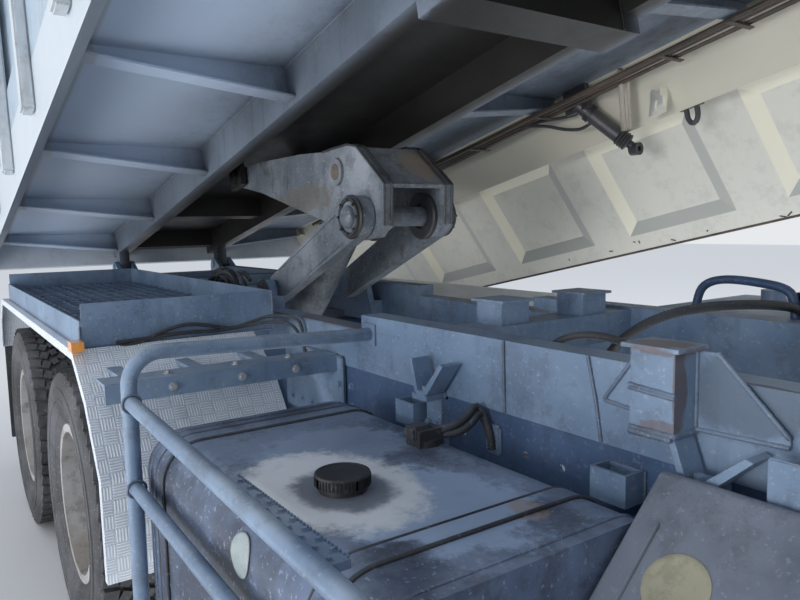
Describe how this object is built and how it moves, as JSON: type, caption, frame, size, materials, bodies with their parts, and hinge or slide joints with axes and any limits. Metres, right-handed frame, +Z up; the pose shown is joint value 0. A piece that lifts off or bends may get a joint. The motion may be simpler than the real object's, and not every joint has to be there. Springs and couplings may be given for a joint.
{
  "type": "tipping dump truck",
  "caption": "Cab-over dump truck with its tipping body part raised on a linkage hoist, the left side gate hung open, a tank behind a tube guard, and chequer wings.",
  "frame": {"origin": "on the ground under the middle of the truck's box; the truck's own centre plane is 164 mm to the right of it, because the open gate makes the box wider on the left", "axes": "+X forward to the cab, +Y to the truck's left, +Z up"},
  "size_m": [8.0634, 3.228, 3.8543],
  "materials": {
    "chassis_paint": "satin blue-grey brushed paint with dust",
    "body_paint": "satin slate blue-grey",
    "gate_cream": "weathered cream white",
    "white_paint": "weathered white",
    "cab_white": "gloss white",
    "chequer": "bright chequer plate",
    "tank_black": "worn satin black",
    "black_plastic": "matt black",
    "cover_plastic": "dusty dark grey",
    "cast": "oily dark",
    "dark_steel": "worn",
    "chrome_rod": "polished",
    "tyre": "worn black",
    "rim": "whitish with rust",
    "glass": "clear",
    "lamp_lens": "amber and clear",
    "seat_fabric": "dark cloth"
  },
  "bodies": {
    "chassis": {"frame_rails": "chassis_paint", "subframe": "chassis_paint", "guide_brackets": "chassis_paint", "front_bumper": "white_paint", "lamps": "lamp_lens", "front_axle": "cast", "rear_axles": "cast", "springs": "cast", "engine_and_radiator": "cast", "gearbox_and_shafts": "cast", "fuel_tank": "tank_black", "tank_fittings": "black_plastic", "side_handrail": "chassis_paint", "battery_cover": "cover_plastic", "oil_tank": "tank_black", "air_tanks": "chassis_paint", "silencer": "dark_steel", "rear_fenders": "chequer", "fender_brackets": "chassis_paint", "tool_tray": "chassis_paint", "rear_bumper": "chassis_paint", "front_mudguards": "black_plastic"},
    "cab": {"cab_shell": "cab_white", "cab_glass": "glass", "cab_interior": "seat_fabric", "mirrors_and_hinges": "black_plastic", "front_grille": "black_plastic"},
    "steering": {"steering_wheel": "black_plastic"},
    "left_door": {"door_left": "cab_white", "door_glass_left": "glass"},
    "right_door": {"door_right": "cab_white", "door_glass_right": "glass"},
    "left_knuckle": {"knuckle_left": "cast"},
    "right_knuckle": {"knuckle_right": "cast"},
    "front_left_wheel": {"tyre_front_left": "tyre", "wheel_front_left": "rim"},
    "front_right_wheel": {"tyre_front_right": "tyre", "wheel_front_right": "rim"},
    "tipping_body": {"body_floor": "body_paint", "headboard": "white_paint", "right_wall": "white_paint", "gate_cylinder": "dark_steel"},
    "rear_gate": {"tailgate": "white_paint"},
    "side_gate": {"left_gate": "gate_cream"},
    "hoist_lower": {"lower_arms": "body_paint"},
    "hoist_upper": {"upper_arms": "body_paint"},
    "lift_barrel": {"hoist_cylinder": "body_paint"},
    "lift_rod": {"hoist_rod": "chrome_rod"},
    "middle_left_wheels": {"tyres_middle_left": "tyre", "wheels_middle_left": "rim"},
    "middle_right_wheels": {"tyres_middle_right": "tyre", "wheels_middle_right": "rim"},
    "rear_left_wheels": {"tyres_rear_left": "tyre", "wheels_rear_left": "rim"},
    "rear_right_wheels": {"tyres_rear_right": "tyre", "wheels_rear_right": "rim"}
  },
  "joints": [
    {"name": "body_tilt", "type": "hinge", "parent": "chassis", "child": "tipping_body", "pos_m": [-3.58, -0.16403, 1.3], "axis": [0, -1, 0], "range_deg": [-12, 33]},
    {"name": "tailgate_swing", "type": "hinge", "parent": "tipping_body", "child": "rear_gate", "pos_m": [-3.9959, -0.16403, 2.36684], "axis": [0, 1, 0], "range_deg": [0, 70]},
    {"name": "side_gate_swing", "type": "hinge", "parent": "tipping_body", "child": "side_gate", "pos_m": [-3.63094, 1.10397, 1.53965], "axis": [0.9781, 0, 0.2079], "range_deg": [-30, 150]},
    {"name": "hoist_arm_swing", "type": "hinge", "parent": "chassis", "child": "hoist_lower", "pos_m": [-1.28, -0.16403, 1.28], "axis": [0, -1, 0], "range_deg": [-24, 65.5]},
    {"name": "hoist_knee", "type": "hinge", "parent": "hoist_lower", "child": "hoist_upper", "pos_m": [-0.535, -0.16403, 1.61], "axis": [0, -1, 0], "range_deg": [-82.6, 30.1]},
    {"name": "lift_cylinder_swing", "type": "hinge", "parent": "chassis", "child": "lift_barrel", "pos_m": [-1.48, -0.16403, 1.05], "axis": [0, -1, 0], "range_deg": [-16, 43.7]},
    {"name": "lift_rod_slide", "type": "slide", "parent": "lift_barrel", "child": "lift_rod", "axis": [0.7033, 0, 0.7109], "range_m": [-0.115, 0.31]},
    {"name": "cab_tilt", "type": "hinge", "parent": "chassis", "child": "cab", "pos_m": [3.86, -0.16403, 0.8], "axis": [0, 1, 0], "range_deg": [0, 55]},
    {"name": "left_door_swing", "type": "hinge", "parent": "cab", "child": "left_door", "pos_m": [3.7, 1.05798, 1.5], "axis": [0, 0, -1], "range_deg": [0, 70]},
    {"name": "right_door_swing", "type": "hinge", "parent": "cab", "child": "right_door", "pos_m": [3.7, -1.38603, 1.5], "axis": [0, 0, 1], "range_deg": [0, 70]},
    {"name": "steering_wheel_turn", "type": "hinge", "parent": "cab", "child": "steering", "pos_m": [3.33, 0.38598, 2.06], "axis": [-0.5, 0, 0.866], "range_deg": [-705, 705]},
    {"name": "left_steer", "type": "hinge", "parent": "chassis", "child": "left_knuckle", "pos_m": [2.54, 0.67597, 0.53], "axis": [0, 0, 1], "range_deg": [-35, 35]},
    {"name": "right_steer", "type": "hinge", "parent": "chassis", "child": "right_knuckle", "pos_m": [2.54, -1.00402, 0.53], "axis": [0, 0, 1], "range_deg": [-35, 35]},
    {"name": "front_left_roll", "type": "hinge", "parent": "left_knuckle", "child": "front_left_wheel", "pos_m": [2.54, 0.85598, 0.53], "axis": [0, 1, 0], "continuous": true},
    {"name": "front_right_roll", "type": "hinge", "parent": "right_knuckle", "child": "front_right_wheel", "pos_m": [2.54, -1.18403, 0.53], "axis": [0, 1, 0], "continuous": true},
    {"name": "middle_left_roll", "type": "hinge", "parent": "chassis", "child": "middle_left_wheels", "pos_m": [-1.06, 0.73098, 0.53], "axis": [0, 1, 0], "continuous": true},
    {"name": "middle_right_roll", "type": "hinge", "parent": "chassis", "child": "middle_right_wheels", "pos_m": [-1.06, -1.05903, 0.53], "axis": [0, 1, 0], "continuous": true},
    {"name": "rear_left_roll", "type": "hinge", "parent": "chassis", "child": "rear_left_wheels", "pos_m": [-2.41, 0.73098, 0.53], "axis": [0, 1, 0], "continuous": true},
    {"name": "rear_right_roll", "type": "hinge", "parent": "chassis", "child": "rear_right_wheels", "pos_m": [-2.41, -1.05903, 0.53], "axis": [0, 1, 0], "continuous": true}
  ],
  "couplings": [
    {"joint": "hoist_arm_swing", "follows": "body_tilt", "ratio": 1.96},
    {"joint": "hoist_knee", "follows": "body_tilt", "ratio": -2.5},
    {"joint": "lift_cylinder_swing", "follows": "body_tilt", "ratio": 1.32},
    {"joint": "lift_rod_slide", "follows": "body_tilt", "m_per_rad": 0.504},
    {"joint": "right_steer", "follows": "left_steer", "ratio": 1},
    {"joint": "steering_wheel_turn", "follows": "left_steer", "ratio": 20}
  ]
}
